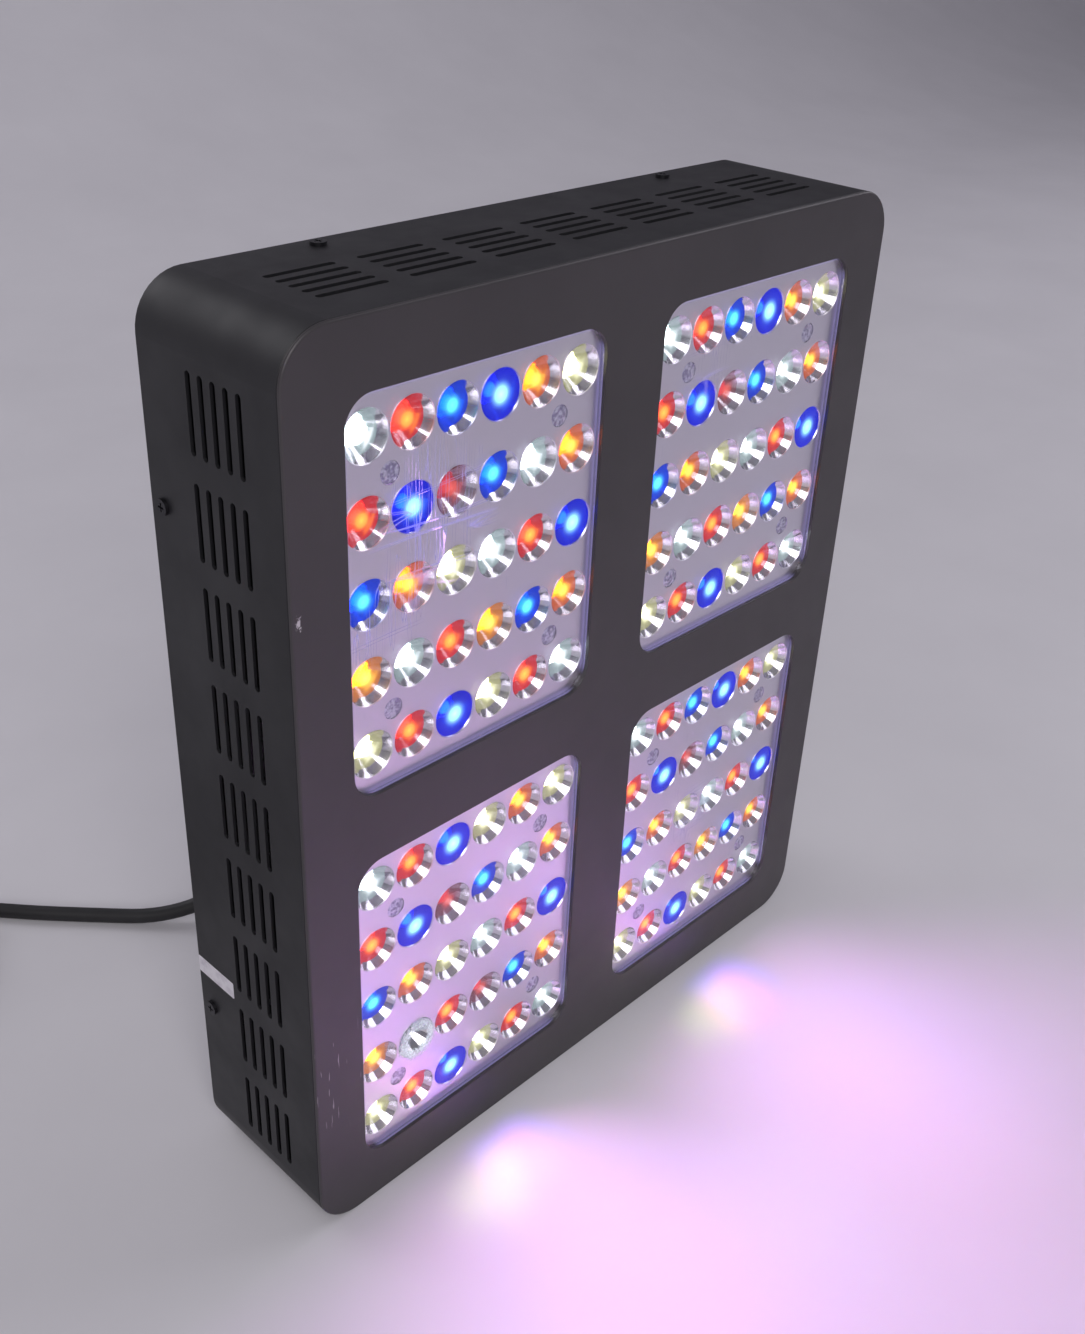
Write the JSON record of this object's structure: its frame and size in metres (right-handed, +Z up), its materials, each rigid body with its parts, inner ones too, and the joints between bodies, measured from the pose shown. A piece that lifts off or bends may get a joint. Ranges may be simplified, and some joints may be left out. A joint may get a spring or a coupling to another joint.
{
  "type": "led grow light",
  "caption": "Upright flat LED grow light with four reflector windows, vented steel case, rear fans, hanging rings, rocker switches and a detachable mains cord.",
  "frame": {"origin": "on the floor, under the middle of the case with its back fittings, cord left out", "axes": "+X to the right seen from the front, -Y out of the lit face, +Z up along the long side"},
  "size_m": [0.4766, 0.339, 0.4014],
  "materials": {
    "powder_coat": "satin",
    "steel_dark": "satin",
    "window_clear": "gloss",
    "reflector_plating": "polished",
    "board_white": "matte",
    "bare_aluminium": "satin",
    "fan_plastic": "matte",
    "switch_plastic": "gloss",
    "bright_steel": "satin",
    "zinc_steel": "satin",
    "supply_case": "satin",
    "cord_rubber": "satin",
    "plug_brass": "satin",
    "tie_strap": "matte",
    "sticker_white": "satin",
    "led_cool_white": "gloss",
    "led_warm_white": "gloss",
    "led_red": "gloss",
    "led_blue": "gloss",
    "led_royal_blue": "gloss",
    "led_orange": "gloss",
    "led_amber": "gloss",
    "led_far_red": "gloss"
  },
  "bodies": {
    "root": {"front_panel": "powder_coat", "side_band": "powder_coat", "rear_cover": "powder_coat", "case_screws": "steel_dark", "blank_sticker": "sticker_white", "window_cover_top_left": "window_clear", "reflector_top_left": "reflector_plating", "led_board_top_left": "board_white", "heat_sink_top_left": "bare_aluminium", "fan_frame_top_left": "fan_plastic", "window_cover_top_right": "window_clear", "reflector_top_right": "reflector_plating", "led_board_top_right": "board_white", "heat_sink_top_right": "bare_aluminium", "fan_frame_top_right": "fan_plastic", "window_cover_bottom_left": "window_clear", "reflector_bottom_left": "reflector_plating", "led_board_bottom_left": "board_white", "heat_sink_bottom_left": "bare_aluminium", "fan_frame_bottom_left": "fan_plastic", "window_cover_bottom_right": "window_clear", "reflector_bottom_right": "reflector_plating", "led_board_bottom_right": "board_white", "heat_sink_bottom_right": "bare_aluminium", "fan_frame_bottom_right": "fan_plastic", "leds_cool_white": "led_cool_white", "leds_warm_white": "led_warm_white", "leds_red": "led_red", "leds_blue": "led_blue", "leds_royal_blue": "led_royal_blue", "leds_orange": "led_orange", "leds_amber": "led_amber", "leds_far_red": "led_far_red", "module_screws": "zinc_steel", "module_posts": "zinc_steel", "module_nuts": "zinc_steel", "fan_guards": "bright_steel", "fan_screws": "zinc_steel", "power_supplies": "supply_case", "power_inlet": "switch_plastic", "power_outlet": "switch_plastic", "switch_housings": "switch_plastic", "ring_brackets": "zinc_steel", "bracket_screws": "zinc_steel", "mains_cord": "cord_rubber", "cord_coil": "cord_rubber", "cord_tie": "tie_strap", "cord_connector": "cord_rubber", "mains_plug": "cord_rubber", "plug_pins": "plug_brass"},
    "fan_rotor_top_left": {"fan_rotor_top_left": "fan_plastic"},
    "fan_rotor_top_right": {"fan_rotor_top_right": "fan_plastic"},
    "fan_rotor_bottom_left": {"fan_rotor_bottom_left": "fan_plastic"},
    "fan_rotor_bottom_right": {"fan_rotor_bottom_right": "fan_plastic"},
    "rocker_left": {"rocker_left": "switch_plastic"},
    "rocker_right": {"rocker_right": "switch_plastic"},
    "hanging_ring_top_left": {"hanging_ring_top_left": "bright_steel"},
    "hanging_ring_top_right": {"hanging_ring_top_right": "bright_steel"},
    "hanging_ring_bottom_left": {"hanging_ring_bottom_left": "bright_steel"},
    "hanging_ring_bottom_right": {"hanging_ring_bottom_right": "bright_steel"}
  },
  "joints": [
    {"name": "fan_spin_top_left", "type": "hinge", "parent": "root", "child": "fan_rotor_top_left", "pos_m": [-0.0795, 0.0219, 0.2945], "axis": [0, 1, 0], "continuous": true},
    {"name": "fan_spin_top_right", "type": "hinge", "parent": "root", "child": "fan_rotor_top_right", "pos_m": [0.0795, 0.0219, 0.2945], "axis": [0, 1, 0], "continuous": true},
    {"name": "fan_spin_bottom_left", "type": "hinge", "parent": "root", "child": "fan_rotor_bottom_left", "pos_m": [-0.0795, 0.0219, 0.1055], "axis": [0, 1, 0], "continuous": true},
    {"name": "fan_spin_bottom_right", "type": "hinge", "parent": "root", "child": "fan_rotor_bottom_right", "pos_m": [0.0795, 0.0219, 0.1055], "axis": [0, 1, 0], "continuous": true},
    {"name": "rocker_press_left", "type": "hinge", "parent": "root", "child": "rocker_left", "pos_m": [-0.028, 0.0364, 0.183], "axis": [0, 0, 1], "range_deg": [0, 22]},
    {"name": "rocker_press_right", "type": "hinge", "parent": "root", "child": "rocker_right", "pos_m": [0.028, 0.0364, 0.183], "axis": [0, 0, 1], "range_deg": [0, 22]},
    {"name": "ring_swing_top_left", "type": "hinge", "parent": "root", "child": "hanging_ring_top_left", "pos_m": [-0.141, 0.0401, 0.366], "axis": [1, 0, 0], "range_deg": [0, 175]},
    {"name": "ring_swing_top_right", "type": "hinge", "parent": "root", "child": "hanging_ring_top_right", "pos_m": [0.141, 0.0401, 0.366], "axis": [1, 0, 0], "range_deg": [0, 175]},
    {"name": "ring_swing_bottom_left", "type": "hinge", "parent": "root", "child": "hanging_ring_bottom_left", "pos_m": [-0.141, 0.0401, 0.048], "axis": [1, 0, 0], "range_deg": [0, 175]},
    {"name": "ring_swing_bottom_right", "type": "hinge", "parent": "root", "child": "hanging_ring_bottom_right", "pos_m": [0.141, 0.0401, 0.048], "axis": [1, 0, 0], "range_deg": [0, 175]}
  ]
}
